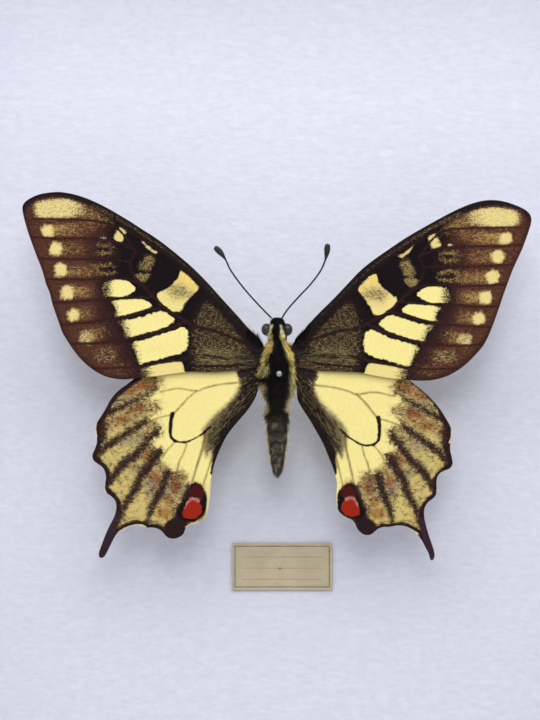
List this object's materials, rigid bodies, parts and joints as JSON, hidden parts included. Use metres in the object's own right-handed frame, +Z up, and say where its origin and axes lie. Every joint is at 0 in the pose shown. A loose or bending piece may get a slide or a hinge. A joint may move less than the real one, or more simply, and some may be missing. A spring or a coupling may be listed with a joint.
{
  "type": "framed butterfly specimen",
  "caption": "Spread swallowtail butterfly on a pin over a pale sheet, with a small data card, in a glazed wooden shadow box that stands or hangs.",
  "frame": {"origin": "middle of the case's bottom face, where it stands", "axes": "+Z up the case, +X to the right seen from the front, the pane faces -Y"},
  "size_m": [0.15, 0.05, 0.2],
  "materials": {
    "frame_wood": "satin oiled walnut, mitred",
    "clear_glass": "clear flat glass with a weak reflection",
    "liner_card": "matt white card strip",
    "backing_paper": "bluish white paper, finely felted",
    "foam": "white closed-cell foam",
    "back_board": "brown hardboard",
    "steel": "bright spring steel",
    "brassed_steel": "brass-plated pressed steel",
    "pin_steel": "polished pin wire",
    "label_card": "aged cream card with a thin printed border and ruled lines",
    "forewing_scales": "scaled wing membrane, umber and black with yellow patches and dusting",
    "hindwing_scales": "scaled wing membrane, straw yellow with a dark dusted band and a red eyespot",
    "body_fur": "dark hairy cuticle with yellow hair at the sides",
    "eye_cuticle": "dark purple-brown, satin",
    "antenna_cuticle": "black, fine-scaled",
    "leg_cuticle": "dark with yellowish scales"
  },
  "bodies": {
    "root": {"rail_top": "frame_wood", "rail_bottom": "frame_wood", "rail_left": "frame_wood", "rail_right": "frame_wood", "glass_pane": "clear_glass", "spacer_left": "liner_card", "spacer_right": "liner_card", "spacer_top": "liner_card", "spacer_bottom": "liner_card", "backing_paper": "backing_paper", "pinning_foam": "foam", "back_board": "back_board", "point_tab_1": "steel", "point_tab_2": "steel", "point_tab_3": "steel", "point_tab_4": "steel", "point_tab_5": "steel", "point_tab_6": "steel", "sawtooth_hanger": "brassed_steel", "hanger_rivet_left": "brassed_steel", "hanger_rivet_right": "brassed_steel", "insect_pin": "pin_steel", "data_label": "label_card", "forewing_left": "forewing_scales", "forewing_right": "forewing_scales", "hindwing_left": "hindwing_scales", "hindwing_right": "hindwing_scales", "thorax": "body_fur", "head": "body_fur", "abdomen": "body_fur", "eye_left": "eye_cuticle", "eye_right": "eye_cuticle", "antenna_left": "antenna_cuticle", "antenna_right": "antenna_cuticle", "leg_front_left": "leg_cuticle", "leg_front_right": "leg_cuticle", "leg_middle_left": "leg_cuticle", "leg_middle_right": "leg_cuticle", "leg_hind_left": "leg_cuticle", "leg_hind_right": "leg_cuticle"}
  },
  "joints": []
}
